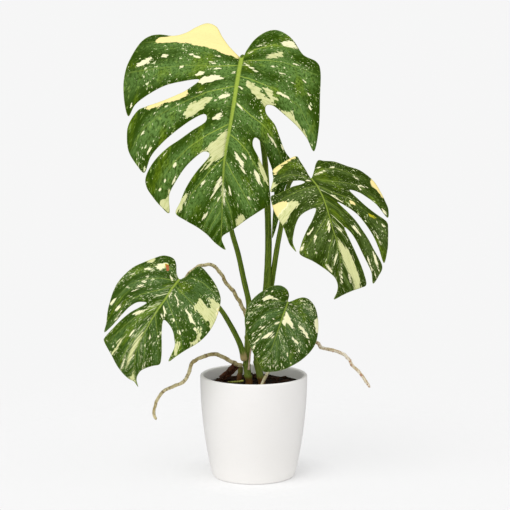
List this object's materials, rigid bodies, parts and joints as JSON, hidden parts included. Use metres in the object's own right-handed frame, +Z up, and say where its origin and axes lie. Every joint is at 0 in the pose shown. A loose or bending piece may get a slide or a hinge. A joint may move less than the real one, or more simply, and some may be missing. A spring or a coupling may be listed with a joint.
{
  "type": "potted monstera plant",
  "caption": "Potted variegated monstera: split leaves on two stems with aerial roots, in a plain tapered round pot.",
  "frame": {"origin": "centre of the pot's flat underside, on the surface it stands on", "axes": "+Z up along the pot's axis and the plant's height, front of the plant towards -Y"},
  "size_m": [0.3592, 0.1707, 0.5883],
  "materials": {
    "pot_ceramic": "satin white glaze",
    "soil": "damp crumbly potting mix",
    "bark": "rough bark",
    "green_stalk": "smooth living green stalk",
    "young_leaf": "satin rolled young leaf",
    "leaf_blade": "satin leathery leaf with cream marbling",
    "aerial_root": "dry corky root skin",
    "young_root": "pale young root",
    "dry_sheath": "dry papery brown sheath",
    "pale_sheath": "pale papery sheath"
  },
  "bodies": {
    "root": {"pot": "pot_ceramic", "potting_soil": "soil", "bark_chip_1": "bark", "bark_chip_2": "bark", "bark_chip_3": "bark", "bark_chip_4": "bark", "bark_chip_5": "bark", "bark_chip_6": "bark", "bark_chip_7": "bark", "stem_left": "green_stalk", "stem_right": "green_stalk", "stalk_leaf_1": "green_stalk", "stalk_leaf_2": "green_stalk", "stalk_leaf_3": "green_stalk", "stalk_leaf_4": "green_stalk", "stalk_new_leaf": "green_stalk", "new_leaf_rolled": "young_leaf", "leaf_1": "leaf_blade", "leaf_2": "leaf_blade", "leaf_3": "leaf_blade", "leaf_4": "leaf_blade", "aerial_root_left": "aerial_root", "aerial_root_arching": "aerial_root", "aerial_root_right": "aerial_root", "soil_root_white": "young_root", "soil_root_green": "green_stalk", "old_stalk_stub": "green_stalk", "dry_sheath": "dry_sheath", "pale_sheath": "pale_sheath"}
  },
  "joints": []
}
